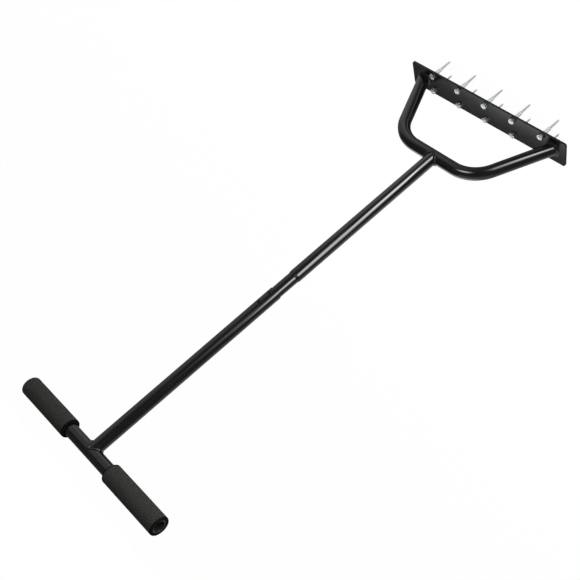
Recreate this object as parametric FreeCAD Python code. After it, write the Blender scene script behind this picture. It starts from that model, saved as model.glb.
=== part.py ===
"""Lawn aerator fork: a T-handled stamping tool with two rows of spikes under a flat foot plate.

Millimetres, +Z up. The tool stands on its spike tips: Z = 0 is the plane of the tips, the shaft
runs up the Z axis, X runs along the plate and the handle, and the snap buttons look along +Y.
"""
import FreeCAD, Part
import math
import os

from FreeCAD import Vector

# ---------------------------------------------------------------- tubes
tube_diameter = 22.0          # handle bar, both shaft halves and the yoke are one tube size
tube_wall = 1.0

# ---------------------------------------------------------------- foot plate (50 x 4 flat bar)
plate_length = 333.4
plate_width = 50.0
plate_thickness = 4.0
plate_corner_radius = 4.0
plate_edge_chamfer = 0.4

# ---------------------------------------------------------------- spikes and their nuts (M6)
spikes_per_row = 5
spike_end_margin = 48.1       # outermost spike's axis to the plate's end
spike_edge_margin = 8.4       # row's axis to the plate's long edge
spike_length = 41.3           # below the plate's underside
stud_diameter = 5.9
stud_stand_out = 1.2          # beyond the nut
stud_chamfer = 0.6
stud_hole_clearance = 0.2     # radial, in the plate
collar_diameter = 10.0
collar_thickness = 2.0
sleeve_top_diameter = 7.5
sleeve_end_diameter = 5.7
sleeve_length = 17.6          # collar included
sleeve_chamfer = 0.5
shank_top_diameter = 4.0
shank_end_diameter = 2.8
point_length = 3.6
tip_diameter = 0.6
nut_across_flats = 10.0
nut_height = 5.0
nut_thread_clearance = 0.05   # radial, stud in nut
nut_turn_step = 23.0          # degrees from one tightened nut to the next

# ---------------------------------------------------------------- yoke
yoke_height = 126.6           # crossbar axis above the plate's top face
yoke_foot_margin = 25.7       # foot's centre to the plate's end
yoke_splay = 25.5             # degrees, each leg from upright
yoke_bend_radius = 60.0       # of the tube's centre line

# ---------------------------------------------------------------- shaft in two halves
handle_height = 852.0         # handle bar axis above the plate's top face
joint_height = 485.0          # lower end of the upper half, above the plate's top face
neck_bare_length = 36.0       # reduced end that shows below the upper half
neck_inserted_length = 60.0   # reduced end inside the upper half
neck_cone_length = 7.0        # from full tube to neck
neck_clearance = 0.1          # radial, neck in the upper half

# ---------------------------------------------------------------- snap buttons and their spring
button_diameter = 6.6
button_hole_clearance = 0.2   # radial
button_first_height = 9.0     # above the upper half's lower end
button_spacing = 22.0
button_stand_out = 1.5        # above the outer tube
button_dome_height = 1.0
spring_width = 8.0
spring_thickness = 0.8
spring_clearance = 0.05       # strip edge to the neck's bore
spring_end_margin = 9.0       # strip beyond the upper button's axis
spring_bend_margin = 10.0     # straight strip below the lower button's axis

# ---------------------------------------------------------------- handle
handle_length = 335.0         # over the end plugs
grip_diameter = 32.7
grip_end_radius = 2.6
grip_overhang = 1.3           # foam past the plug's face
grip_bore_clearance = 0.15    # radial
left_grip_length = 113.8
right_grip_length = 119.4
plug_flange_thickness = 1.2
plug_depth = 14.0             # spigot inside the bar
plug_wall = 1.0
plug_floor_thickness = 1.5
plug_clearance = 0.05         # radial, spigot in the bar

# ---------------------------------------------------------------- welds
weld_radius = 3.6             # leg length of each fillet bead
weld_step = 4.0               # between the ripples of a bead
weld_sink = 1.6               # how far a saddle bead sinks in where the two tubes run tangent

# ---------------------------------------------------------------- worked out from the above
tube_radius = tube_diameter / 2
bore_radius = tube_radius - tube_wall
plate_bottom = spike_length
plate_top = plate_bottom + plate_thickness
spike_pitch = (plate_length - 2 * spike_end_margin) / (spikes_per_row - 1)
spike_row_spacing = plate_width - 2 * spike_edge_margin
yoke_foot_spacing = plate_length - 2 * yoke_foot_margin
yoke_z = plate_top + yoke_height
handle_z = plate_top + handle_height
joint_z = plate_top + joint_height
neck_radius = bore_radius - neck_clearance
neck_bore_radius = neck_radius - tube_wall
neck_start_z = joint_z - neck_bare_length
neck_end_z = joint_z + neck_inserted_length
button_radius = button_diameter / 2
button_heights = [joint_z + button_first_height + i * button_spacing for i in range(2)]
button_top = tube_radius + button_stand_out
spring_reach = math.sqrt(neck_bore_radius ** 2 - (spring_width / 2) ** 2) - spring_clearance
stud_radius = stud_diameter / 2
bar_half_length = handle_length / 2 - plug_flange_thickness

X = Vector(1, 0, 0)
Y = Vector(0, 1, 0)
Z = Vector(0, 0, 1)


def rod(start, axis, length, radius):
    """Solid round bar from start along axis."""
    return Part.makeCylinder(radius, length, start, axis)


def pipe(start, axis, length, outer, inner):
    """Round tube from start along axis."""
    return rod(start, axis, length, outer).cut(rod(start, axis, length, inner))


def turned(profile):
    """Solid of revolution about Z from (radius, height) points that close on the axis."""
    points = [Vector(r, 0, z) for r, z in profile]
    face = Part.Face(Part.makePolygon(points + points[:1]))
    return face.revolve(Vector(0, 0, 0), Z, 360)


def moved(shape, x, y, z):
    """Copy of a shape shifted by x, y, z."""
    copy = shape.copy()
    copy.translate(Vector(x, y, z))
    return copy


# ---------------------------------------------------------------- foot plate, spikes, nuts
def spike_places():
    """(x, y) of each spike, row by row from the left."""
    half = (spikes_per_row - 1) / 2
    rows = (("front", spike_row_spacing / 2), ("back", -spike_row_spacing / 2))
    return [(row, i + 1, (i - half) * spike_pitch, y) for row, y in rows for i in range(spikes_per_row)]


def spike_plate():
    """Flat bar with rounded corners, eased edges and a hole for each stud."""
    blank = Part.makeBox(plate_length, plate_width, plate_thickness,
                         Vector(-plate_length / 2, -plate_width / 2, plate_bottom))
    corners = [e for e in blank.Edges if abs(e.tangentAt(e.FirstParameter).z) > 0.5]
    blank = blank.makeFillet(plate_corner_radius, corners)
    rims = [e for e in blank.Edges if abs(e.BoundBox.ZLength) < 1e-6]
    blank = blank.makeChamfer(plate_edge_chamfer, rims)
    hole_radius = stud_radius + stud_hole_clearance
    for _, _, x, y in spike_places():
        blank = blank.cut(rod(Vector(x, y, plate_bottom - 1), Z, plate_thickness + 2, hole_radius))
    return blank


def spike():
    """Spike turned in one piece: stud, collar, tapered sleeve, thin shank and point; axis on Z."""
    stud_top = plate_top + nut_height + stud_stand_out
    sleeve_end = plate_bottom - sleeve_length
    return turned([
        (0, 0),
        (tip_diameter / 2, 0),
        (shank_end_diameter / 2, point_length),
        (shank_top_diameter / 2, sleeve_end),
        (sleeve_end_diameter / 2 - sleeve_chamfer, sleeve_end),
        (sleeve_end_diameter / 2, sleeve_end + sleeve_chamfer),
        (sleeve_top_diameter / 2, plate_bottom - collar_thickness),
        (collar_diameter / 2, plate_bottom - collar_thickness),
        (collar_diameter / 2, plate_bottom),
        (stud_radius, plate_bottom),
        (stud_radius, stud_top - stud_chamfer),
        (stud_radius - stud_chamfer, stud_top),
        (0, stud_top),
    ])


def nut(turn):
    """Hexagon nut on the plate's top face, its corners bevelled above and below."""
    corner_radius = nut_across_flats / math.sqrt(3)
    bevel = corner_radius - nut_across_flats / 2
    bevel_height = bevel * math.tan(math.radians(30))
    flats = [Vector(corner_radius * math.cos(math.radians(turn + 60 * i)),
                    corner_radius * math.sin(math.radians(turn + 60 * i)), plate_top) for i in range(6)]
    prism = Part.Face(Part.makePolygon(flats + flats[:1])).extrude(Z * nut_height)
    envelope = turned([
        (0, plate_top),
        (corner_radius - bevel, plate_top),
        (corner_radius, plate_top + bevel_height),
        (corner_radius, plate_top + nut_height - bevel_height),
        (corner_radius - bevel, plate_top + nut_height),
        (0, plate_top + nut_height),
    ])
    thread = rod(Vector(0, 0, plate_top - 1), Z, nut_height + 2, stud_radius + nut_thread_clearance)
    return prism.common(envelope).cut(thread)


# ---------------------------------------------------------------- yoke
def yoke_points():
    """Centre line of the right half: foot, end of the leg, middle of the bend, start of the bar."""
    splay = math.radians(yoke_splay)
    turn = math.pi / 2 - splay
    foot_x = yoke_foot_spacing / 2
    corner_x = foot_x - yoke_height * math.tan(splay)
    tangent = yoke_bend_radius * math.tan(turn / 2)
    foot = Vector(foot_x, 0, plate_top)
    leg_end = Vector(corner_x + tangent * math.sin(splay), 0, yoke_z - tangent * math.cos(splay))
    bar_end = Vector(corner_x - tangent, 0, yoke_z)
    centre = bar_end - Z * yoke_bend_radius
    bend_middle = centre + Vector(math.sin(turn / 2), 0, math.cos(turn / 2)) * yoke_bend_radius
    return foot, leg_end, bend_middle, bar_end


def yoke_rod(radius):
    """Solid bent bar of the yoke's shape, run on below the plate's top face at both feet."""
    def mirrored(point):
        return Vector(-point.x, 0, point.z)

    foot, leg_end, bend_middle, bar_end = yoke_points()
    along_leg = (foot - leg_end).normalize()
    start = foot + along_leg * tube_diameter
    edges = [
        Part.LineSegment(start, leg_end).toShape(),
        Part.Arc(leg_end, bend_middle, bar_end).toShape(),
        Part.LineSegment(bar_end, mirrored(bar_end)).toShape(),
        Part.Arc(mirrored(bar_end), mirrored(bend_middle), mirrored(leg_end)).toShape(),
        Part.LineSegment(mirrored(leg_end), mirrored(start)).toShape(),
    ]
    section = Part.Wire([Part.makeCircle(radius, start, along_leg)])
    return Part.Wire(edges).makePipeShell([section], True, False)


def leg_rod(side):
    """Solid bar in the place of one leg, run on below the plate's top face."""
    splay = math.radians(yoke_splay)
    foot = Vector(side * yoke_foot_spacing / 2, 0, plate_top)
    up_leg = Vector(-side * math.sin(splay), 0, math.cos(splay))
    return rod(foot - up_leg * tube_diameter, up_leg, 3 * tube_diameter, tube_radius)


def below_plate_top():
    """Block that trims whatever reaches under the plate's top face."""
    depth = 4 * tube_diameter
    return Part.makeBox(2 * plate_length, 4 * plate_width, depth,
                        Vector(-plate_length, -2 * plate_width, plate_top - depth))


def yoke():
    """One bent tube, its two feet cut flush with the plate."""
    return yoke_rod(tube_radius).cut(yoke_rod(bore_radius)).cut(below_plate_top())


# ---------------------------------------------------------------- shaft and handle bar
def bar_rod():
    """Solid bar in the handle bar's place, which copes the shaft's upper end."""
    return rod(Vector(-bar_half_length, 0, handle_z), X, 2 * bar_half_length, tube_radius)


def handle_bar():
    """Straight tube across the top of the shaft."""
    return pipe(Vector(-bar_half_length, 0, handle_z), X, 2 * bar_half_length, tube_radius, bore_radius)


def button_holes():
    """Rods through the front wall of both shaft halves, one for each button."""
    radius = button_radius + button_hole_clearance
    return [rod(Vector(0, 0, z), Y, 2 * tube_radius, radius) for z in button_heights]


def upper_shaft():
    """Tube from the joint up to the handle bar, with the two button holes."""
    tube = pipe(Vector(0, 0, joint_z), Z, handle_z - joint_z, tube_radius, bore_radius)
    return tube.cut([bar_rod()] + button_holes())


def lower_shaft():
    """Tube from the yoke up to the joint, its upper end reduced to slide into the upper half."""
    cone_start = neck_start_z - neck_cone_length
    outside = turned([(0, yoke_z), (tube_radius, yoke_z), (tube_radius, cone_start),
                      (neck_radius, neck_start_z), (neck_radius, neck_end_z), (0, neck_end_z)])
    inside = turned([(0, yoke_z), (bore_radius, yoke_z), (bore_radius, cone_start),
                     (neck_bore_radius, neck_start_z), (neck_bore_radius, neck_end_z), (0, neck_end_z)])
    return outside.cut([inside, yoke_rod(tube_radius)] + button_holes())


# ---------------------------------------------------------------- snap buttons
def snap_button(z):
    """Domed stud that stands on the spring's front arm and looks out through both tubes."""
    base = rod(Vector(0, spring_reach, z), Y, button_top - button_dome_height - spring_reach, button_radius)
    dome_radius = (button_radius ** 2 + button_dome_height ** 2) / (2 * button_dome_height)
    dome = Part.makeSphere(dome_radius, Vector(0, button_top - dome_radius, z))
    stem = rod(Vector(0, spring_reach, z), Y, button_top - spring_reach, button_radius)
    return base.fuse(dome.common(stem)).removeSplitter()


def button_spring():
    """Spring strip folded to a U inside the neck: back arm on the wall, front arm under the buttons."""
    def u_shape(reach, top):
        """Face of a U of this half width, its round end centred below the lower button."""
        bend_z = button_heights[0] - spring_bend_margin
        left = Vector(0, -reach, bend_z)
        right = Vector(0, reach, bend_z)
        edges = [
            Part.Arc(left, Vector(0, 0, bend_z - reach), right).toShape(),
            Part.LineSegment(right, Vector(0, reach, top)).toShape(),
            Part.LineSegment(Vector(0, reach, top), Vector(0, -reach, top)).toShape(),
            Part.LineSegment(Vector(0, -reach, top), left).toShape(),
        ]
        face = Part.Face(Part.Wire(edges))
        return moved(face, -spring_width / 2, 0, 0).extrude(X * spring_width)

    top = button_heights[-1] + spring_end_margin
    return u_shape(spring_reach, top).cut(u_shape(spring_reach - spring_thickness, top + 1))


# ---------------------------------------------------------------- grips and end plugs
def grip(side, length):
    """Foam sleeve with rounded ends; side is -1 for the left, +1 for the right."""
    outer_end = handle_length / 2 + grip_overhang
    start = Vector(side * outer_end, 0, handle_z)
    sleeve = rod(start, X * -side, length, grip_diameter / 2)
    rims = [e for e in sleeve.Edges if e.Curve.TypeId == "Part::GeomCircle"]
    sleeve = sleeve.makeFillet(grip_end_radius, rims)
    return sleeve.cut(rod(start, X * -side, length, tube_radius + grip_bore_clearance))


def end_plug(side):
    """Moulded cup: a flange over the tube's end, a spigot in its bore, hollow from outside."""
    face_x = side * handle_length / 2
    inward = X * -side
    spigot_radius = bore_radius - plug_clearance
    whole = plug_flange_thickness + plug_depth
    flange = rod(Vector(face_x, 0, handle_z), inward, plug_flange_thickness, tube_radius)
    spigot = rod(Vector(face_x, 0, handle_z), inward, whole, spigot_radius)
    cup = rod(Vector(face_x, 0, handle_z), inward, whole - plug_floor_thickness, spigot_radius - plug_wall)
    return flange.fuse(spigot).removeSplitter().cut(cup)


# ---------------------------------------------------------------- welds
def bead(place, length, cutters):
    """Ripples along a closed seam: place(turn) gives a centre, and the joined tubes are cut away."""
    count = math.ceil(length / weld_step)
    ripples = [Part.makeSphere(weld_radius, place(2 * math.pi * i / count)) for i in range(count)]
    weld = ripples[0].multiFuse(ripples[1:])
    for cutter in cutters:
        weld = weld.cut(cutter)
    return weld


def saddle_seam(z, side):
    """Seam of the shaft on a bar of its own size at height z; side is +1 above the bar, -1 below."""
    def place(turn):
        sunk = tube_radius - weld_sink * math.sin(turn) ** 2
        return Vector(tube_radius * math.cos(turn), sunk * math.sin(turn),
                      z + side * tube_radius * abs(math.cos(turn)))
    return place


def saddle_length():
    """Length of that seam: two crossing ellipse halves, taken at their mean radius."""
    return 2 * math.pi * tube_radius * (1 + math.sqrt(2)) / 2


def handle_weld():
    """Bead where the shaft's upper end meets the handle bar."""
    shaft = rod(Vector(0, 0, joint_z), Z, handle_z - joint_z, tube_radius)
    return bead(saddle_seam(handle_z, -1), saddle_length(), [shaft, bar_rod()])


def yoke_weld():
    """Bead where the shaft's lower end stands on the yoke."""
    shaft = rod(Vector(0, 0, yoke_z), Z, joint_z - yoke_z, tube_radius)
    return bead(saddle_seam(yoke_z, 1), saddle_length(), [shaft, yoke_rod(tube_radius)])


def foot_weld(side):
    """Bead round one foot of the yoke, on the plate."""
    long_radius = tube_radius / math.cos(math.radians(yoke_splay))
    foot_x = side * yoke_foot_spacing / 2

    def place(turn):
        return Vector(foot_x + long_radius * math.cos(turn), tube_radius * math.sin(turn), plate_top)

    length = math.pi * (long_radius + tube_radius)
    return bead(place, length, [below_plate_top(), leg_rod(side)])


# ---------------------------------------------------------------- the whole tool
def build():
    """Every piece of the tool by name."""
    pieces = {
        "handle_bar": handle_bar(),
        "handle_weld": handle_weld(),
        "left_grip": grip(-1, left_grip_length),
        "right_grip": grip(1, right_grip_length),
        "left_end_plug": end_plug(-1),
        "right_end_plug": end_plug(1),
        "upper_shaft": upper_shaft(),
        "lower_shaft": lower_shaft(),
        "lower_snap_button": snap_button(button_heights[0]),
        "upper_snap_button": snap_button(button_heights[1]),
        "button_spring": button_spring(),
        "yoke": yoke(),
        "yoke_weld": yoke_weld(),
        "left_foot_weld": foot_weld(-1),
        "right_foot_weld": foot_weld(1),
        "spike_plate": spike_plate(),
    }
    one_spike = spike()
    for count, (row, number, x, y) in enumerate(spike_places()):
        pieces[f"{row}_spike_{number}"] = moved(one_spike, x, y, 0)
        pieces[f"{row}_nut_{number}"] = moved(nut(count * nut_turn_step), x, y, 0)
    return pieces


os.makedirs("parts", exist_ok=True)
for name, shape in build().items():
    shape.exportStep(f"parts/{name}.step")
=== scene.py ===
import math

import bmesh
import bpy
from mathutils import Matrix, Vector, noise


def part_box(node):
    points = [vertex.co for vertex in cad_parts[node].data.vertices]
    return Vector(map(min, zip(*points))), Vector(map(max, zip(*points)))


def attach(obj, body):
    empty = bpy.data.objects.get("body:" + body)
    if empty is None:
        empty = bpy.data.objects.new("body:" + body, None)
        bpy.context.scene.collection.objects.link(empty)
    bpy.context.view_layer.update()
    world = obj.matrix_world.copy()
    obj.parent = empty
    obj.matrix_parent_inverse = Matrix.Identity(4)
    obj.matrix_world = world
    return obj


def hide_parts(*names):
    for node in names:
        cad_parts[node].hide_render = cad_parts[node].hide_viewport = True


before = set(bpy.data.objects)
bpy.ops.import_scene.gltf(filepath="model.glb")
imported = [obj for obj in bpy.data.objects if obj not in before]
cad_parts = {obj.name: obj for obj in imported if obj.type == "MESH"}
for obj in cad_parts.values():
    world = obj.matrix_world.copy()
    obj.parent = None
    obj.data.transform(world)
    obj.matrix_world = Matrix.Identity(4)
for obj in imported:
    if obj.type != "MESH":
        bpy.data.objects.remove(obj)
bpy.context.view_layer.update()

# ---------------------------------------------------------------- foot plate
# One length of 50 by 4 mm flat bar with its corners rounded and its edges eased, drilled for ten
# studs and powder coated satin black. The spikes are bolted through it and the yoke stands on it.
plate_low, plate_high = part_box("spike_plate")
plate_top = plate_high.z
plate_bottom = plate_low.z
plate_corner_radius = 0.004
plate_edge_radius = 0.0006
stud_hole_radius = 0.00315
drill_overrun = 0.002
spike_places = [(row, number) for row in ("front", "back") for number in range(1, 6)]
same_point = 1e-6
satin_black = (0.0065, 0.0064, 0.0062, 1)
satin_black_worn = (0.0125, 0.0122, 0.0116, 1)


def centre_of(node):
    """Middle of a CAD node's box."""
    low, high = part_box(node)
    return (low + high) / 2


def select_only(piece):
    """The piece alone is selected and active, so operators act on nothing else."""
    bpy.ops.object.select_all(action="DESELECT")
    piece.select_set(True)
    bpy.context.view_layer.objects.active = piece


def settle(piece, name):
    """Names a new piece and puts its place and turn into its mesh."""
    piece.name = name
    piece.data.name = name
    select_only(piece)
    bpy.ops.object.transform_apply(location=True, rotation=True, scale=True)
    return piece


def pick_edges(test):
    """In edit mode, selects the edges whose two ends pass the test, and nothing else."""
    bpy.ops.mesh.select_mode(type="EDGE")
    bpy.ops.mesh.select_all(action="DESELECT")
    mesh = bmesh.from_edit_mesh(bpy.context.object.data)
    for edge in mesh.edges:
        edge.select_set(test(edge.verts[0].co, edge.verts[1].co))
    bmesh.update_edit_mesh(bpy.context.object.data)


def turned(name, steps, sides, hollow=False):
    """Draws a ring of vertices up through (radius, height) steps about Z.

    A hollow piece closes on its first ring, as a tube's wall does; any other has its ends filled.
    """
    bpy.ops.object.select_all(action="DESELECT")
    radius, height = steps[0]
    bpy.ops.mesh.primitive_circle_add(vertices=sides, radius=radius, enter_editmode=True,
                                      fill_type="NOTHING" if hollow else "NGON")
    bpy.ops.transform.translate(value=(0, 0, height))
    for next_radius, next_height in list(steps[1:]) + list(steps[:1] if hollow else ()):
        bpy.ops.mesh.extrude_region_move(
            TRANSFORM_OT_translate={"value": (0, 0, next_height - height)})
        scale = next_radius / radius
        bpy.ops.transform.resize(value=(scale, scale, 1), center_override=(0, 0, next_height))
        radius, height = next_radius, next_height
    bpy.ops.mesh.select_all(action="SELECT")
    bpy.ops.mesh.remove_doubles(threshold=same_point)
    bpy.ops.mesh.normals_make_consistent(inside=False)
    bpy.ops.object.mode_set(mode="OBJECT")
    return settle(bpy.context.object, name)


def apply_modifier(piece, kind, **settings):
    """Puts a modifier on the piece and applies it."""
    select_only(piece)
    modifier = piece.modifiers.new(kind, kind)
    for name, setting in settings.items():
        setattr(modifier, name, setting)
    bpy.ops.object.modifier_apply(modifier=modifier.name)


def machine(piece, tool, operation="DIFFERENCE"):
    """Cuts the piece with a tool of its own mesh, which is thrown away after."""
    apply_modifier(piece, "BOOLEAN", object=tool, operation=operation, solver="EXACT")
    bpy.data.objects.remove(tool)


def fitted(piece, node, body, finish, sharp=32):
    """Gives a finished shape its shading and finish, and puts it in the CAD node's place.

    Edges that turn by more than sharp, in degrees, stay crisp.
    """
    select_only(piece)
    bpy.ops.object.shade_smooth_by_angle(angle=math.radians(sharp))
    apply_modifier(piece, "WEIGHTED_NORMAL", keep_sharp=True, weight=80)
    piece.data.materials.clear()
    piece.data.materials.append(finish)
    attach(piece, body)
    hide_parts(node)


class Signal:
    """An output of a shader's nodes. Its operators add Math nodes and give the new output."""

    def __init__(self, tree, socket=None):
        self.tree = tree
        self.socket = socket

    def node(self, kind, settings=None, inputs=None, output=0):
        """Adds a node of any kind: its settings first, then its sockets' values or links."""
        made = self.tree.nodes.new(kind)
        for name, setting in (settings or {}).items():
            setattr(made, name, setting)
        for name, value in (inputs or {}).items():
            if isinstance(value, Signal):
                self.tree.links.new(value.socket, made.inputs[name])
            else:
                made.inputs[name].default_value = value
        return Signal(self.tree, made.outputs[output] if made.outputs else None)

    def math(self, operation, first, second):
        """Adds one Math node."""
        return self.node("ShaderNodeMath", {"operation": operation}, {0: first, 1: second})

    def __add__(self, other):
        return self.math("ADD", self, other)

    def __radd__(self, other):
        return self.math("ADD", other, self)

    def __sub__(self, other):
        return self.math("SUBTRACT", self, other)

    def __rsub__(self, other):
        return self.math("SUBTRACT", other, self)

    def __mul__(self, other):
        return self.math("MULTIPLY", self, other)

    def __rmul__(self, other):
        return self.math("MULTIPLY", other, self)

    def __pow__(self, other):
        return self.math("POWER", self, other)

    def __rpow__(self, other):
        return self.math("POWER", other, self)

    def noise(self, size, detail, roughness=0.5):
        """Even noise from 0 to 1, its lumps about this size in metres."""
        return self.node("ShaderNodeTexNoise", {"noise_dimensions": "3D"},
                         {"Vector": self, "Scale": 1 / size, "Detail": detail,
                          "Roughness": roughness})

    def stretched(self, x, y, z):
        """The same place with each axis scaled, for a pattern that runs along the piece."""
        return self.node("ShaderNodeMapping", {"vector_type": "POINT"},
                         {"Vector": self, "Scale": (x, y, z)})

    def height(self):
        """How high this place lies."""
        return self.node("ShaderNodeSeparateXYZ", inputs={"Vector": self}, output="Z")

    def length(self):
        """How far this place lies from the origin."""
        return self.node("ShaderNodeVectorMath", {"operation": "LENGTH"}, {0: self},
                         output="Value")

    def mixed(self, first, second):
        """A colour between two others by this output: sockets 6 and 7 and output 2 are colours."""
        return self.node("ShaderNodeMix", {"data_type": "RGBA"}, {0: self, 6: first, 7: second},
                         output=2)

    def between(self, low, high):
        """Eased from 0 to 1 as this output goes from low to high."""
        return self.node("ShaderNodeMapRange", {"interpolation_type": "SMOOTHSTEP"},
                         {"Value": self, "From Min": low, "From Max": high})

    def bump(self, depth, strength):
        """A normal roughened by this output as a height, full height being this deep in metres."""
        return self.node("ShaderNodeBump",
                         inputs={"Height": self, "Distance": depth, "Strength": strength})


def new_finish(name):
    """An empty material, and the place on the piece in metres that its patterns start from."""
    material = bpy.data.materials.new(name)
    material.use_nodes = True
    material.node_tree.nodes.clear()
    return material, Signal(material.node_tree).node("ShaderNodeTexCoord", output="Object")


def closed(shader, kind="ShaderNodeOutputMaterial"):
    """Makes a shader the whole of its material, or of the world or lamp that ends in this kind."""
    shader.node(kind, inputs={"Surface": shader})


def surfaced(place, sockets):
    """Closes a material with its surface shader."""
    closed(place.node("ShaderNodeBsdfPrincipled", inputs=sockets))


def satin_powder_coat():
    """Black powder coat with a fine dry texture, rubbed paler in soft patches."""
    material, place = new_finish("satin_powder_coat")
    grain = place.noise(0.0007, detail=2)
    cloud = place.noise(0.035, detail=4)
    rub = place.noise(0.006, detail=5, roughness=0.65)
    wear = (cloud * 0.65 + rub * 0.35).between(0.42, 0.7)
    surfaced(place, {
        "Base Color": wear.mixed(satin_black, satin_black_worn),
        "Roughness": 0.12 + grain * 0.05 + cloud * 0.06,
        "Normal": (grain + rub * 0.6).bump(0.00003, 0.5),
    })
    return material


bpy.ops.object.select_all(action="DESELECT")
bpy.ops.mesh.primitive_cube_add(size=1, location=(plate_low + plate_high) / 2,
                                scale=plate_high - plate_low)
plate = settle(bpy.context.object, "foot_plate")
bpy.ops.object.mode_set(mode="EDIT")
pick_edges(lambda start, end: abs(start.z - end.z) > (plate_top - plate_bottom) / 2)
bpy.ops.mesh.bevel(offset=plate_corner_radius, segments=10, affect="EDGES")
bpy.ops.object.mode_set(mode="OBJECT")
for row, number in spike_places:
    stud = centre_of(f"{row}_nut_{number}")
    drill = turned("drill", [
        (stud_hole_radius, plate_bottom - drill_overrun),
        (stud_hole_radius, plate_top + drill_overrun),
    ], sides=32)
    drill.location = (stud.x, stud.y, 0)
    machine(plate, settle(drill, "drill"))
apply_modifier(plate, "BEVEL", width=plate_edge_radius, segments=3, limit_method="ANGLE",
               angle_limit=math.radians(40))
fitted(plate, "spike_plate", "frame", satin_powder_coat())

# ---------------------------------------------------------------- spikes
# Ten spikes turned from steel bar: a threaded stud through the plate, a collar under it, a tapered
# sleeve and a thin pointed shank. Stud, collar and sleeve are bright zinc, the shank is bare steel.
spike_low, spike_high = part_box("front_spike_1")
collar_radius = (spike_high.x - spike_low.x) / 2
stud_end = spike_high.z
nut_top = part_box("front_nut_1")[1].z
tip_radius = 0.0003
tip_rounding = 0.0001
point_top = 0.0036
point_rounding = 0.0002
shank_end_radius = 0.0014
point_radius = shank_end_radius * 0.96
shank_top_radius = 0.002
shank_flare = 0.0001
sleeve_end = plate_bottom - 0.0176
sleeve_end_radius = 0.00285
sleeve_rim = ((0.0005, 0), (0.0001, 0.0003), (0, 0.0006))
sleeve_top_radius = 0.00375
sleeve_flare = 0.0003
sleeve_flare_height = 0.0004
collar_under = plate_bottom - 0.002
collar_chamfer = 0.0003
stud_radius = 0.00295
stud_chamfer = 0.0005
stud_dish_radius = 0.0012
stud_dish_depth = 0.0001
thread_root = 0.00255
thread_groove = ((stud_radius, -0.0002), (thread_root, 0.0001), (stud_radius, 0.0004))
plating_fade = 0.0002
row_turns = {"front": 55, "back": 44}
turn_per_spike = 37
sleeve_zinc = (0.78, 0.86, 0.93, 1)
sleeve_zinc_warm = (0.90, 0.91, 0.88, 1)
bare_steel = (0.74, 0.76, 0.76, 1)
bare_steel_dark = (0.58, 0.59, 0.59, 1)


def copied(piece, name, shift, turn=0.0):
    """Another of the same piece with a mesh of its own, turned about Z and then shifted."""
    twin = piece.copy()
    twin.data = piece.data.copy()
    twin.name = name
    twin.data.name = name
    bpy.context.collection.objects.link(twin)
    twin.data.transform(Matrix.Translation(shift) @ Matrix.Rotation(turn, 4, "Z"))
    return twin


def spike_metal():
    """Blue-white zinc down to the end of the sleeve and drawn grey steel below it.

    Both have fine turning marks round them.
    """
    material, place = new_finish("spike_metal")
    plated = place.height().between(sleeve_end - plating_fade, sleeve_end + plating_fade)
    rings = place.stretched(0.15, 0.15, 1).noise(0.00035, detail=2)
    bloom = place.noise(0.003, detail=3)
    zinc = bloom.between(0.35, 0.7).mixed(sleeve_zinc, sleeve_zinc_warm)
    steel = (bloom * 0.5 + rings * 0.5).between(0.35, 0.65).mixed(bare_steel, bare_steel_dark)
    surfaced(place, {
        "Base Color": plated.mixed(steel, zinc),
        "Metallic": 1 - bloom * 0.3,
        "Roughness": 0.3 - plated * 0.06 + rings * 0.08,
        "Normal": rings.bump(0.00002, 0.6),
    })
    return material


spike = turned("spike", [
    (tip_radius / 2, 0),
    (tip_radius, tip_rounding),
    (point_radius, point_top - point_rounding),
    (shank_end_radius, point_top + point_rounding),
    (shank_top_radius, sleeve_end - shank_flare),
    (shank_top_radius + shank_flare, sleeve_end),
    *[(sleeve_end_radius - inset, sleeve_end + rise) for inset, rise in sleeve_rim],
    (sleeve_top_radius, collar_under - sleeve_flare_height),
    (sleeve_top_radius + sleeve_flare, collar_under),
    (collar_radius - collar_chamfer, collar_under),
    (collar_radius, collar_under + collar_chamfer),
    (collar_radius, plate_bottom - collar_chamfer),
    (collar_radius - collar_chamfer, plate_bottom),
    (stud_radius, plate_bottom),
    *[(radius, nut_top + rise) for radius, rise in thread_groove],
    (stud_radius, stud_end - stud_chamfer),
    (stud_radius - stud_chamfer, stud_end),
    (stud_dish_radius, stud_end - stud_dish_depth),
], sides=32)
spike_finish = spike_metal()
for row, number in spike_places:
    node = f"{row}_spike_{number}"
    stud = centre_of(node)
    turn = math.radians(turn_per_spike * number + row_turns[row])
    fitted(copied(spike, f"{node}_steel", (stud.x, stud.y, 0), turn), node, "frame",
           spike_finish)
bpy.data.objects.remove(spike)

# ---------------------------------------------------------------- nuts
# Ten M6 hexagon nuts, 10 mm across flats, run down on the studs until they clamp the plate. They
# are cold formed, bevelled above and below, and plated with bright blue-white zinc.
nut_half_width = 0.005
nut_corner = nut_half_width * 2 / math.sqrt(3)
nut_bevel = nut_corner - nut_half_width + 0.0001
nut_bevel_height = nut_bevel * math.tan(math.radians(32))
nut_face_radius = nut_corner - nut_bevel
nut_envelope_radius = nut_corner + 0.0001
thread_radius = 0.003
thread_mouth_radius = 0.0034
thread_mouth_depth = 0.0004
thread_tool_overrun = 0.001
nut_turn_step = math.radians(23)
nut_zinc = (0.66, 0.74, 0.81, 1)
nut_zinc_warm = (0.80, 0.81, 0.78, 1)


def nut_plating():
    """Bright zinc with a cool and a warm bloom, scuffed by the spanner."""
    material, place = new_finish("nut_plating")
    bloom = place.noise(0.004, detail=2)
    scuff = place.noise(0.0006, detail=4, roughness=0.7)
    surfaced(place, {
        "Base Color": bloom.between(0.35, 0.7).mixed(nut_zinc, nut_zinc_warm),
        "Metallic": 1 - bloom.between(0.35, 0.65) * 0.15,
        "Roughness": 0.17 + scuff * 0.12 + bloom * 0.05,
        "Normal": scuff.bump(0.00002, 0.5),
    })
    return material


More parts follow.
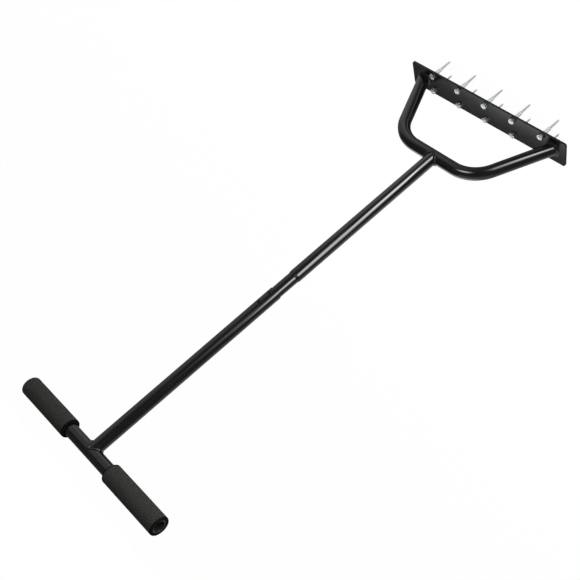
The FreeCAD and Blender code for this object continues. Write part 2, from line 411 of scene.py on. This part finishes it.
bpy.ops.object.select_all(action="DESELECT")
bpy.ops.mesh.primitive_circle_add(vertices=6, radius=nut_corner, fill_type="NGON",
                                  location=(0, 0, plate_top), rotation=(0, 0, math.radians(-90)))
nut = settle(bpy.context.object, "nut")
bpy.ops.object.mode_set(mode="EDIT")
bpy.ops.mesh.select_all(action="SELECT")
bpy.ops.mesh.extrude_region_move(TRANSFORM_OT_translate={"value": (0, 0, nut_top - plate_top)})
bpy.ops.mesh.select_all(action="SELECT")
bpy.ops.mesh.normals_make_consistent(inside=False)
bpy.ops.object.mode_set(mode="OBJECT")
machine(nut, turned("nut_envelope", [
    (nut_face_radius, plate_top),
    (nut_envelope_radius, plate_top + nut_bevel_height),
    (nut_envelope_radius, nut_top - nut_bevel_height),
    (nut_face_radius, nut_top),
], sides=72), "INTERSECT")
machine(nut, turned("thread_tool", [
    (thread_mouth_radius, plate_top - thread_tool_overrun),
    (thread_mouth_radius, plate_top),
    (thread_radius, plate_top + thread_mouth_depth),
    (thread_radius, nut_top - thread_mouth_depth),
    (thread_mouth_radius, nut_top),
    (thread_mouth_radius, nut_top + thread_tool_overrun),
], sides=48))
nut_finish = nut_plating()
for count, (row, number) in enumerate(spike_places):
    node = f"{row}_nut_{number}"
    stud = centre_of(node)
    fitted(copied(nut, f"{node}_steel", (stud.x, stud.y, 0), count * nut_turn_step), node,
           "frame", nut_finish, sharp=20)
bpy.data.objects.remove(nut)

# ---------------------------------------------------------------- yoke
# One length of 22 mm steel tube bent twice on a mandrel into a trapezium, its feet sawn flat to
# stand on the plate. Like the shaft and handle bar it is powder coated gloss black after welding.
handle_low, handle_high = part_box("handle_bar")
tube_radius = (handle_high.z - handle_low.z) / 2
tube_wall = 0.001
tube_sides = 72
yoke_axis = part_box("yoke")[1].z - tube_radius
foot_spacing = 0.282
splay = math.radians(25.5)
bend_radius = 0.060
bend_turn = math.pi / 2 - splay
bend_steps = 26
tube_peel_depth = 0.000012
gloss_black = (0.0042, 0.0042, 0.0040, 1)
gloss_black_dusty = (0.0075, 0.0074, 0.0070, 1)


def gloss_powder_coat(name, peel_depth):
    """Deep black powder coat that flowed out smooth, with some orange peel and handling haze."""
    material, place = new_finish(name)
    peel = place.noise(0.0022, detail=1.5)
    speck = place.noise(0.0005, detail=2)
    haze = place.noise(0.045, detail=5, roughness=0.6)
    dusty = (haze * 0.7 + speck * 0.3).between(0.45, 0.75)
    surfaced(place, {
        "Base Color": dusty.mixed(gloss_black, gloss_black_dusty),
        "Roughness": 0.05 + haze.between(0.4, 0.8) * 0.05 + speck * 0.02,
        "Normal": (peel + speck * 0.15).bump(peel_depth, 0.5),
    })
    return material


corner_x = foot_spacing / 2 - (yoke_axis - plate_top) * math.tan(splay)
bend_tangent = bend_radius * math.tan(bend_turn / 2)
bar_end_x = corner_x - bend_tangent
bend_centre_z = yoke_axis - bend_radius
up_left_leg = Vector((math.sin(splay), 0, math.cos(splay)))
down_right_leg = Vector((math.sin(splay), 0, -math.cos(splay)))
left_foot = Vector((-foot_spacing / 2, 0, plate_top))
leg_below = tube_radius * 2
leg_length = (yoke_axis - plate_top) / math.cos(splay) - bend_tangent + leg_below
bpy.ops.object.select_all(action="DESELECT")
bpy.ops.mesh.primitive_circle_add(vertices=tube_sides, radius=tube_radius, rotation=(0, splay, 0),
                                  location=left_foot - up_left_leg * leg_below)
yoke = settle(bpy.context.object, "yoke_tube")
bpy.ops.object.mode_set(mode="EDIT")
bpy.ops.mesh.select_all(action="SELECT")
bpy.ops.mesh.extrude_region_move(TRANSFORM_OT_translate={"value": up_left_leg * leg_length})
bpy.ops.mesh.spin(steps=bend_steps, angle=-bend_turn, center=(-bar_end_x, 0, bend_centre_z),
                  axis=(0, 1, 0))
bpy.ops.mesh.extrude_region_move(TRANSFORM_OT_translate={"value": (2 * bar_end_x, 0, 0)})
bpy.ops.mesh.spin(steps=bend_steps, angle=-bend_turn, center=(bar_end_x, 0, bend_centre_z),
                  axis=(0, 1, 0))
bpy.ops.mesh.extrude_region_move(TRANSFORM_OT_translate={"value": down_right_leg * leg_length})
bpy.ops.mesh.select_all(action="SELECT")
bpy.ops.mesh.remove_doubles(threshold=same_point)
bpy.ops.mesh.normals_make_consistent(inside=False)
bpy.ops.mesh.bisect(plane_co=(0, 0, plate_top), plane_no=(0, 0, 1), clear_inner=True)
bpy.ops.object.mode_set(mode="OBJECT")
apply_modifier(yoke, "SOLIDIFY", thickness=tube_wall, offset=-1)
gloss_finish = gloss_powder_coat("gloss_powder_coat", tube_peel_depth)
fitted(yoke, "yoke", "frame", gloss_finish)

# ---------------------------------------------------------------- foot welds
# A hand-laid steel bead round each foot of the yoke. Its ripples show where the arc paused, and
# the powder coat has flowed over them and softened their edges.
weld_radius = 0.0036
weld_penetration = 0.0004
weld_peel_depth = 0.00016
ripple_length = 0.005
ripple_segments = 8
ripple_height = 0.05
ripple_bow = 0.12
ripple_unevenness = 0.6
bead_unevenness = 0.12
bead_flattening = 0.25
bead_start_size = 0.94
wanders_per_turn = 2.2
foot_radius = tube_radius / math.cos(splay)


def weld_bead(name, seam, length, seed, side=1):
    """Ring of ripples along a closed seam, which gives the bead's centre at each turn of the ring.

    Its face is flatter than round where it looks outward and up, or down for side -1.
    """
    ripples = round(length / ripple_length)
    bpy.ops.object.select_all(action="DESELECT")
    bpy.ops.mesh.primitive_torus_add(major_radius=tube_radius, minor_radius=weld_radius,
                                     major_segments=ripples * ripple_segments, minor_segments=24)
    bead = settle(bpy.context.object, name)
    for vertex in bead.data.vertices:
        turn = math.atan2(vertex.co.y, vertex.co.x)
        outward = Vector((math.cos(turn), math.sin(turn), 0))
        off = vertex.co - outward * tube_radius
        wander = noise.noise(Vector((outward.x * wanders_per_turn,
                                     outward.y * wanders_per_turn, seed)))
        bow = off.z / weld_radius * ripple_bow
        phase = ripples * turn / (2 * math.pi) + wander * ripple_unevenness + bow
        ripple = ripple_height * math.sin(math.pi * phase) ** 2
        face = max(0, (off.dot(outward) + off.z * side) / weld_radius / math.sqrt(2))
        swell = bead_start_size + ripple + bead_unevenness * wander - bead_flattening * face ** 4
        vertex.co = seam(turn) + off * swell
    return bead


def foot_bead(name, side):
    """Bead on the ellipse where a leaning leg meets the plate, its lower half sunk in the plate."""
    def seam(turn):
        return Vector((side * foot_spacing / 2 + foot_radius * math.cos(turn),
                       tube_radius * math.sin(turn), plate_top))

    bead = weld_bead(name, seam, math.pi * (foot_radius + tube_radius), seed=side * 3.7)
    bpy.ops.object.mode_set(mode="EDIT")
    bpy.ops.mesh.select_all(action="SELECT")
    bpy.ops.mesh.bisect(plane_co=(0, 0, plate_top - weld_penetration), plane_no=(0, 0, 1),
                        clear_inner=True)
    bpy.ops.mesh.edge_face_add()
    bpy.ops.object.mode_set(mode="OBJECT")
    return bead


weld_finish = gloss_powder_coat("weld_powder_coat", weld_peel_depth)
for side, node in ((-1, "left_foot_weld"), (1, "right_foot_weld")):
    fitted(foot_bead(f"{node}_bead", side), node, "frame", weld_finish, sharp=60)

# ---------------------------------------------------------------- shaft
# Two lengths of the same tube. The lower one is welded on the yoke and its upper end is drawn down
# to a neck that slides into the upper one, whose upper end is coped to fit under the handle bar.
bore_radius = tube_radius - tube_wall
joint_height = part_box("upper_shaft")[0].z
joint_edge_radius = 0.0003
handle_axis = (handle_low.z + handle_high.z) / 2
neck_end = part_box("lower_shaft")[1].z
neck_radius = bore_radius - 0.0001
neck_bore_radius = neck_radius - tube_wall
neck_chamfer = 0.0003
neck_start = joint_height - 0.036
cone_start = neck_start - 0.007
cone_steps = 10
button_hole_radius = 0.0035


def fillet(radius, height, size, start, end, steps):
    """(radius, height) steps round a corner's arc, from one angle to the other in degrees."""
    angles = [math.radians(start + (end - start) * i / steps) for i in range(steps + 1)]
    return [(radius + size * math.cos(a), height + size * math.sin(a)) for a in angles]


def eased(start, end, share):
    """A point on an S-shaped slope between two radii."""
    return start + (end - start) * (0.5 - 0.5 * math.cos(math.pi * share))


def coped(piece, end, side):
    """Shapes one end of an upright tube to sit on a bar of its size whose axis is that high."""
    for vertex in piece.data.vertices:
        if abs(vertex.co.z - end) < 10 * same_point:
            vertex.co.z = end + side * math.sqrt(max(tube_radius ** 2 - vertex.co.y ** 2, 0))


def button_holes(piece):
    """Drills the front wall for both snap buttons."""
    for node in ("lower_snap_button", "upper_snap_button"):
        bit = turned("button_drill", [
            (button_hole_radius, 0),
            (button_hole_radius, 2 * tube_radius),
        ], sides=40)
        bit.rotation_euler = (math.radians(-90), 0, 0)
        bit.location = (0, 0, centre_of(node).z)
        machine(piece, settle(bit, "button_drill"))


cone = [(i / cone_steps, cone_start + (neck_start - cone_start) * i / cone_steps)
        for i in range(cone_steps + 1)]
lower_shaft = turned("lower_shaft_tube", [
    (tube_radius, yoke_axis),
    *[(eased(tube_radius, neck_radius, share), height) for share, height in cone],
    (neck_radius, neck_end - neck_chamfer),
    (neck_radius - neck_chamfer, neck_end),
    (neck_bore_radius, neck_end),
    *[(eased(neck_bore_radius, bore_radius, 1 - share), height)
      for share, height in reversed(cone)],
    (bore_radius, yoke_axis),
], sides=tube_sides, hollow=True)
coped(lower_shaft, yoke_axis, 1)
button_holes(lower_shaft)
fitted(lower_shaft, "lower_shaft", "frame", gloss_finish)

upper_shaft = turned("upper_shaft_tube", [
    *fillet(tube_radius - joint_edge_radius, joint_height + joint_edge_radius, joint_edge_radius,
            -90, 0, 4),
    (tube_radius, handle_axis),
    (bore_radius, handle_axis),
    (bore_radius, joint_height),
], sides=tube_sides, hollow=True)
coped(upper_shaft, handle_axis, -1)
button_holes(upper_shaft)
fitted(upper_shaft, "upper_shaft", "frame", gloss_finish)

# ---------------------------------------------------------------- yoke weld and handle weld
# The same kind of bead joins the shaft to the yoke below and to the handle bar above. Each follows
# the saddle where two tubes of one size meet, and fills the crotch where they run side by side.
saddle_length = math.pi * tube_radius * (1 + math.sqrt(2))
saddle_sink = 0.0016


def saddle_bead(name, height, side, seed):
    """Bead round the shaft where it meets a cross tube at this height, on the side given."""
    def seam(turn):
        reach = tube_radius - saddle_sink * math.sin(turn) ** 2
        return Vector((tube_radius * math.cos(turn), reach * math.sin(turn),
                       height + side * tube_radius * abs(math.cos(turn))))

    return weld_bead(name, seam, saddle_length, seed, side)


yoke_bead = saddle_bead("yoke_weld_bead", yoke_axis, 1, seed=1.3)
handle_bead = saddle_bead("handle_weld_bead", handle_axis, -1, seed=8.1)
fitted(yoke_bead, "yoke_weld", "frame", weld_finish, sharp=60)
fitted(handle_bead, "handle_weld", "frame", weld_finish, sharp=60)

# ---------------------------------------------------------------- snap buttons and their spring
# Two domed steel buttons ride on the front arm of a spring strip inside the neck and click out
# through both tubes. They are blackened, and rubbed a little where they slide; the strip is bare.
button_low, button_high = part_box("lower_snap_button")
button_radius = (button_high.z - button_low.z) / 2
button_chamfer = 0.0002
button_dome = 0.001
dome_radius = (button_radius ** 2 + button_dome ** 2) / (2 * button_dome)
dome_half_angle = math.degrees(math.asin(button_radius / dome_radius))
black_steel = (0.003, 0.003, 0.0032, 1)
rubbed_steel = (0.008, 0.008, 0.0078, 1)
spring_steel = (0.30, 0.31, 0.33, 1)
spring_steel_blue = (0.18, 0.20, 0.25, 1)


def blackened_steel():
    """Oil-blackened steel, rubbed paler in fine streaks."""
    material, place = new_finish("blackened_steel")
    rub = place.noise(0.0011, detail=4, roughness=0.7)
    grain = place.noise(0.0003, detail=2)
    surfaced(place, {
        "Base Color": rub.between(0.45, 0.75).mixed(black_steel, rubbed_steel),
        "Roughness": 0.5 + grain * 0.14,
        "Specular IOR Level": 0.2,
        "Normal": (grain + rub).bump(0.00001, 0.5),
    })
    return material


def strip_steel():
    """Blue-grey spring strip with rolling lines along it."""
    material, place = new_finish("strip_steel")
    lines = place.stretched(12, 12, 1).noise(0.004, detail=3)
    heat = place.noise(0.02, detail=2)
    surfaced(place, {
        "Base Color": heat.between(0.4, 0.65).mixed(spring_steel, spring_steel_blue),
        "Metallic": 1.0,
        "Roughness": 0.28 + lines * 0.16,
        "Normal": lines.bump(0.00001, 0.4),
    })
    return material


button = turned("snap_button", [
    (button_radius - button_chamfer, button_low.y),
    (button_radius, button_low.y + button_chamfer),
    *fillet(0, button_high.y - dome_radius, dome_radius, 90 - dome_half_angle, 90, 7)[:-1],
], sides=40)
button.rotation_euler = (math.radians(-90), 0, 0)
settle(button, "snap_button")
button_finish = blackened_steel()
for node, body in (("lower_snap_button", "lower_button"), ("upper_snap_button", "upper_button")):
    fitted(copied(button, f"{node}_steel", (0, 0, centre_of(node).z)), node, body,
           button_finish)
bpy.data.objects.remove(button)
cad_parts["button_spring"].material_slots[0].material = strip_steel()

# ---------------------------------------------------------------- handle bar
# A straight length of the same tube laid across the top of the shaft and welded there. Both of
# its ends are open for the plugs.
bar_edge_radius = 0.0002
bar = turned("handle_bar_tube", [
    (bore_radius, handle_low.x),
    *fillet(tube_radius - bar_edge_radius, handle_low.x + bar_edge_radius, bar_edge_radius,
            -90, 0, 3),
    *fillet(tube_radius - bar_edge_radius, handle_high.x - bar_edge_radius, bar_edge_radius,
            0, 90, 3),
    (bore_radius, handle_high.x),
], sides=tube_sides, hollow=True)
bar.rotation_euler = (0, math.radians(90), 0)
bar.location = (0, 0, handle_axis)
fitted(settle(bar, "handle_bar_tube"), "handle_bar", "frame", gloss_finish)

# ---------------------------------------------------------------- foam grips
# Sleeves of closed-cell rubber foam slid over the bar's ends, their rims rounded by the extrusion
# skin and their bores cut clean. The surface is matt, finely pitted and a little uneven. Faces at
# both ends are coloured far darker than the skin: partly the cut cells' dull tone, partly painted
# shade on the end faces.
grip_bore = tube_radius + 0.00015
grip_bore_chamfer = 0.0005
grip_bore_chamfer_depth = 0.0006
grip_rim = 0.0026
grip_rings = 40
shaded_cut_reach = grip_rim * 0.9
skin_from = grip_bore + 0.0008
dent_depth = 0.00012
dents_per_metre = 55
dent_stretch = 0.6
foam_pit = 0.0009
foam_black = (0.0214, 0.0211, 0.0199, 1)
foam_black_pale = (0.0231, 0.0228, 0.0216, 1)
# Colours of the cut ends, far darker than the skin: the cut cells' dull tone with painted shade.
shaded_cut_foam_black = (0.003, 0.003, 0.003, 1)
shaded_cut_foam_pale = (0.006, 0.006, 0.0057, 1)


def rubber_foam(name, dark, pale, shine):
    """Matt black foam: open pits in the skin, mottled paler where it has been rubbed."""
    material, place = new_finish(name)
    pits = place.node("ShaderNodeTexVoronoi", {"feature": "F1"},
                      {"Vector": place, "Scale": 1 / foam_pit})
    mottle = place.noise(0.005, detail=5, roughness=0.7)
    patch = place.noise(0.03, detail=2)
    skin = (mottle * 0.7 + patch * 0.3).between(0.38, 0.66)
    surfaced(place, {
        "Base Color": skin.mixed(dark, pale),
        "Roughness": 0.88 + mottle * 0.1,
        "Specular IOR Level": shine,
        "Normal": (pits + mottle * 0.5).bump(0.00008, 0.19),
    })
    return material


foam_finish = rubber_foam("foam_skin", foam_black, foam_black_pale, 0.25)
shaded_cut_foam = rubber_foam("shaded_cut_foam", shaded_cut_foam_black, shaded_cut_foam_pale, 0.04)
for side, name in ((-1, "left"), (1, "right")):
    low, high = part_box(f"{name}_grip")
    grip_radius = (high.z - low.z) / 2
    length = high.x - low.x
    grip = turned(f"{name}_grip_foam", [
        (grip_bore, grip_bore_chamfer_depth),
        (grip_bore + grip_bore_chamfer, 0),
        *fillet(grip_radius - grip_rim, grip_rim, grip_rim, -90, 0, 7),
        *[(grip_radius, length * i / grip_rings) for i in range(2, grip_rings - 1)],
        *fillet(grip_radius - grip_rim, length - grip_rim, grip_rim, 0, 90, 7),
        (grip_bore + grip_bore_chamfer, length),
        (grip_bore, length - grip_bore_chamfer_depth),
    ], sides=tube_sides, hollow=True)
    for vertex in grip.data.vertices:
        across = Vector((vertex.co.x, vertex.co.y, 0))
        if across.length > skin_from:
            spot = Vector((vertex.co.x, vertex.co.y, vertex.co.z * dent_stretch + side))
            dent = noise.noise(spot * dents_per_metre)
            vertex.co -= across.normalized() * (dent_depth + dent_depth * dent)
    grip.rotation_euler = (0, math.radians(90), 0)
    grip.location = (low.x, 0, handle_axis)
    settle(grip, f"{name}_grip_foam")
    fitted(grip, f"{name}_grip", "frame", foam_finish, sharp=50)
    # Faces near both ends take the darker finish, which paints shade on them as well as the cut
    # cells' tone.
    grip.data.materials.append(shaded_cut_foam)
    for face in grip.data.polygons:
        if min(face.center.x - low.x, high.x - face.center.x) < shaded_cut_reach:
            face.material_index = 1

# ---------------------------------------------------------------- end plugs
# Moulded cups of black plastic pushed into the bar's ends: a thin flange over the tube's rim, a
# spigot in its bore and an open hollow towards the hand, with the fine grain of the mould.
plug_wall = 0.001
plug_flange = 0.0012
plug_flange_edge = 0.0002
plug_lip = 0.0004
plug_floor = 0.0015
spigot_radius = bore_radius - 0.00005
spigot_nose = ((0.0008, 0), (0.0003, 0.0005), (0, 0.002))
cup_radius = spigot_radius - plug_wall
cup_corner = ((0.0002, 0.0006), (0.0008, 0))
plug_black = (0.0095, 0.0095, 0.009, 1)
plug_black_scuffed = (0.017, 0.0167, 0.016, 1)


def moulded_plastic():
    """Black moulded plastic, softly glossy, with mould grain and light scuffs."""
    material, place = new_finish("moulded_plastic")
    grain = place.noise(0.0004, detail=2)
    scuff = place.noise(0.004, detail=5, roughness=0.7)
    surfaced(place, {
        "Base Color": scuff.between(0.5, 0.75).mixed(plug_black, plug_black_scuffed),
        "Roughness": 0.26 + grain * 0.12 + scuff * 0.06,
        "Normal": grain.bump(0.00001, 0.5),
    })
    return material


plastic_finish = moulded_plastic()
for side, name in ((-1, "left"), (1, "right")):
    low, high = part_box(f"{name}_end_plug")
    depth = high.x - low.x
    plug = turned(f"{name}_end_plug_cup", [
        *[(spigot_radius - inset, rise - depth) for inset, rise in spigot_nose],
        (spigot_radius, -plug_flange),
        (tube_radius - plug_flange_edge, -plug_flange),
        (tube_radius, plug_flange_edge - plug_flange),
        *fillet(tube_radius - plug_lip, -plug_lip, plug_lip, 0, 90, 5),
        *fillet(cup_radius + plug_lip, -plug_lip, plug_lip, 90, 180, 5),
        *[(cup_radius - inset, plug_floor - depth + rise) for inset, rise in cup_corner],
    ], sides=64)
    plug.rotation_euler = (0, math.radians(90 * side), 0)
    plug.location = (high.x if side > 0 else low.x, 0, handle_axis)
    settle(plug, f"{name}_end_plug_cup")
    fitted(plug, f"{name}_end_plug", "frame", plastic_finish)

# ---------------------------------------------------------------- studio
# A pale floor that runs out of sight in an even white room, with a soft lamp in front and above
# and a low fill. Gloss mirrors white panels at the sides, a dimmer room between them, and lamps
# that nothing else shows. Flags keep some of those lamps to the pieces that they are for.
room_white = 1.0
room_dim = 0.14
room_fill = 0.55
room_fill_fall = 0.35
panel_heading = math.radians(220)
panel_front_edge = (-0.65, 0)
panel_back_edge = (0.4, 1)
panel_back_fall = 0.8
sky_panels = 0.6
sky_ceiling = 0.6
ceiling_heading = math.radians(300)
ceiling_side_edge = (0.4, 0.85)
ceiling_low_edge = (0.1, 0.4)
white_light = (1, 1, 1, 1)
lamp_fades = 3
floor_size = 400
floor_below_tips = 0.0002
floor_white = (0.82, 0.82, 0.82, 1)
floor_seen = (0.25, 0.25, 0.25, 1)
floor_glow = 0.91
floor_near_edge = (0.15, 0.3)
floor_far_edge = (0.6, 1.6)
floor_far_fall = 0.4
patch_middle = (0, 0.03, 0)
patch_squeeze = 0.22
patch_edge = (0.045, 0.06)
patch_level = 0.5
patch_rise = 0.25
patch_rise_edge = (0.04, 0.055)


def toward(place, heading):
    """How far a place lies this way in plan: 1 along the heading, 0 across it and -1 behind."""
    flat = place.node("ShaderNodeVectorMath", {"operation": "MULTIPLY"}, {0: place, 1: (1, 1, 0)})
    flat = flat.node("ShaderNodeVectorMath", {"operation": "NORMALIZE"}, {0: flat})
    return flat.node("ShaderNodeVectorMath", {"operation": "DOT_PRODUCT"},
                     {0: flat, 1: (math.cos(heading), math.sin(heading), 0)}, output="Value")


def side_panels(place):
    """What gloss mirrors of the room: a white panel on each side, dim between them and in front."""
    behind = toward(place, panel_heading)
    white = behind.between(*panel_front_edge) - behind.between(*panel_back_edge) * panel_back_fall
    return room_dim + white * (room_white - room_dim)


def ray_kinds(place):
    """1 where the camera looks straight at a stage material, and 1 where a piece mirrors it."""
    seen, glossy, clear = (place.node("ShaderNodeLightPath", output=kind)
                           for kind in ("Is Camera Ray", "Is Glossy Ray", "Is Transmission Ray"))
    return seen, glossy + clear


def studio_floor():
    """Pale matt floor with its own glow, so that it shows white and keeps a soft shadow.

    Gloss mirrors the panels in it, dim near the tool and far off, and a plain patch by the spikes.
    """
    material, place = new_finish("studio_floor")
    seen, mirrored = ray_kinds(place)
    distance = place.length()
    strength = (distance.between(*floor_near_edge)
                * (1 - distance.between(*floor_far_edge) * floor_far_fall))
    panel_level = room_dim + (side_panels(place) - room_dim) * strength
    off_patch = place.node("ShaderNodeVectorMath", {"operation": "SUBTRACT"},
                           {0: place, 1: patch_middle})
    patch = 1 - off_patch.stretched(patch_squeeze, 1, 0).length().between(*patch_edge)
    ahead = place.node("ShaderNodeSeparateXYZ", inputs={"Vector": place}, output="Y")
    level_here = patch_level + ahead.between(*patch_rise_edge) * patch_rise
    matt = place.node("ShaderNodeBsdfDiffuse",
                      inputs={"Color": seen.mixed(floor_white, floor_seen)})
    glow = place.node("ShaderNodeEmission",
                      inputs={"Color": white_light, "Strength": seen * floor_glow})
    lit = place.node("ShaderNodeAddShader", inputs={0: matt, 1: glow})
    mirror = place.node("ShaderNodeEmission", inputs={
        "Color": white_light, "Strength": panel_level + patch * (level_here - panel_level)})
    closed(place.node("ShaderNodeMixShader", inputs={0: mirrored, 1: lit, 2: mirror}))
    return material


def soft_lamp(name, place, aim, width, height, glow):
    """Rectangular lamp of an even glow, which the camera doesn't see."""
    data = bpy.data.lights.new(name, "AREA")
    data.shape = "RECTANGLE"
    data.size = width
    data.size_y = height
    data.energy = glow * math.pi * width * height
    lamp = bpy.data.objects.new(name, data)
    bpy.context.collection.objects.link(lamp)
    lamp.location = place
    lamp.rotation_mode = "QUATERNION"
    lamp.rotation_quaternion = (Vector(aim) - Vector(place)).to_track_quat("-Z", "Y")
    lamp.visible_camera = False
    return lamp


def mirrored_lamp(name, place, aim, width, height, glow, lean=0.0, edge=1.5):
    """Lamp that only the gloss of paint and metal shows, leaning by so many degrees.

    It fades from its middle out, and the higher the edge, the flatter its middle is.
    """
    lamp = soft_lamp(name, place, aim, width, height, glow)
    lamp.rotation_quaternion @= Matrix.Rotation(math.radians(lean), 3, "Z").to_quaternion()
    lamp.visible_diffuse = False
    lamp.visible_transmission = False
    lamp.data.use_nodes = True
    lamp.data.node_tree.nodes.clear()
    spot = Signal(lamp.data.node_tree).node("ShaderNodeNewGeometry", output="Parametric")
    spot = spot.node("ShaderNodeMapping", inputs={
        "Vector": spot, "Location": (-lamp_fades, -lamp_fades, 0),
        "Scale": (2 * lamp_fades, 2 * lamp_fades, 0)})
    off = spot.node("ShaderNodeVectorMath", {"operation": "DOT_PRODUCT"}, {0: spot, 1: spot},
                    output="Value")
    mirrors = off.node("ShaderNodeLightPath", output="Glossy Depth")
    fade = math.e ** (off ** edge * -0.5) * mirrors.math("LESS_THAN", mirrors, 1.5)
    closed(fade.node("ShaderNodeEmission", inputs={"Strength": fade}), "ShaderNodeOutputLight")
    return lamp


def flagged(lamp, state, *pieces):
    """Keeps a lamp's light off these pieces, EXCLUDE, or off all others, INCLUDE."""
    flag = bpy.data.collections.new(f"{lamp.name}_flag")
    for count, piece in enumerate(pieces):
        flag.objects.link(piece)
        flag.collection_objects[count].light_linking.link_state = state
    lamp.light_linking.receiver_collection = flag


bpy.ops.object.select_all(action="DESELECT")
bpy.ops.mesh.primitive_plane_add(size=floor_size, location=(0, 0, -floor_below_tips))
floor = settle(bpy.context.object, "floor")
floor.data.materials.append(studio_floor())

world = bpy.data.worlds.new("surround")
bpy.context.scene.world = world
world.use_nodes = True
world.node_tree.nodes.clear()
sky = Signal(world.node_tree).node("ShaderNodeTexCoord", output="Generated")
seen, mirrored = ray_kinds(sky)
panels = room_dim + (side_panels(sky) - room_dim) * sky_panels
ceiling = room_dim + toward(sky, ceiling_heading).between(*ceiling_side_edge) * sky_ceiling
gloss_level = panels + sky.height().between(*ceiling_low_edge) * (ceiling - panels)
matt_level = room_fill - sky.height() * room_fill_fall
closed(sky.node("ShaderNodeBackground", inputs={
    "Color": white_light,
    "Strength": seen + mirrored * gloss_level + (1 - seen - mirrored) * matt_level,
}), "ShaderNodeOutputWorld")

# These two light every piece, and no gloss mirrors them.
softbox = soft_lamp("front_softbox", place=(1.9, 2.1, 1.9), aim=(0, 0, 0.45),
                    width=1.4, height=1.4, glow=1.5)
low_fill = soft_lamp("low_fill", place=(1.0, 1.4, 0.15), aim=(0, 0, 0.85),
                     width=1.2, height=0.6, glow=16.5)
softbox.visible_glossy = False
low_fill.visible_glossy = False

# Each of these is named after the piece that its streak or glint lies on. The one at the back draws
# the rims, and the right bend of the yoke takes the glint.
shaft_lamp = mirrored_lamp("shaft_lamp", place=(0.369, 0.388, 0.226), aim=(0.074, 0.517, 0.609),
                           width=1.55, height=1.48, glow=10.9, lean=-53.0, edge=2.65)
mirrored_lamp("leg_lamp", place=(0.308, 0.360, 0.002), aim=(0.167, -0.063, 0.229),
              width=0.64, height=0.49, glow=13.9, lean=10.3, edge=1.06)
mirrored_lamp("bend_lamp", place=(0.050, 0.192, 0.309), aim=(-0.361, 0.364, 0.537),
              width=0.35, height=0.44, glow=5.4, lean=5.3, edge=1.74)
mirrored_lamp("handle_lamp", place=(0.248, 0.223, 0.506), aim=(-0.003, -0.074, 0.820),
              width=0.83, height=0.48, glow=1.6, lean=46.6, edge=1.19)
back_lamp = mirrored_lamp("back_lamp", place=(-0.08, -0.2, 0.282), aim=(-0.08, 0, 0.282),
                          width=1.5, height=0.38, glow=2.2, edge=4.0)
shaft_foot_lamp = mirrored_lamp("shaft_foot_lamp", place=(0.136, 0.244, 0.05),
                                aim=(0.006, 0.009, 0.05), width=0.4, height=0.27, glow=12.0)
glint_lamp = mirrored_lamp("glint_lamp", place=(0.03, 0.36, 0.36), aim=(0.067, 0.0095, 0.173),
                           width=0.42, height=0.42, glow=9.0)
flagged(shaft_lamp, "EXCLUDE", yoke)
flagged(back_lamp, "EXCLUDE", lower_shaft)
flagged(shaft_foot_lamp, "INCLUDE", lower_shaft, yoke_bead)
flagged(glint_lamp, "INCLUDE", yoke)

image_side = 580
camera_data = bpy.data.cameras.new("camera")
camera_data.sensor_width = 36
camera_data.lens = 62.63
camera_data.shift_x = -0.5 / image_side
camera_data.shift_y = 0.5 / image_side
camera = bpy.data.objects.new("camera", camera_data)
bpy.context.collection.objects.link(camera)
camera.location = (0.86191, 1.24207, 0.94831)
camera_aim = Vector((0.00213, -0.01852, 0.50559))
camera_roll = math.radians(-130.918)
camera.rotation_mode = "QUATERNION"
camera.rotation_quaternion = (camera_aim - camera.location).to_track_quat("-Z", "Y")
camera.rotation_quaternion @= Matrix.Rotation(camera_roll, 3, "Z").to_quaternion()
bpy.context.scene.camera = camera
bpy.context.scene.view_settings.view_transform = "Standard"
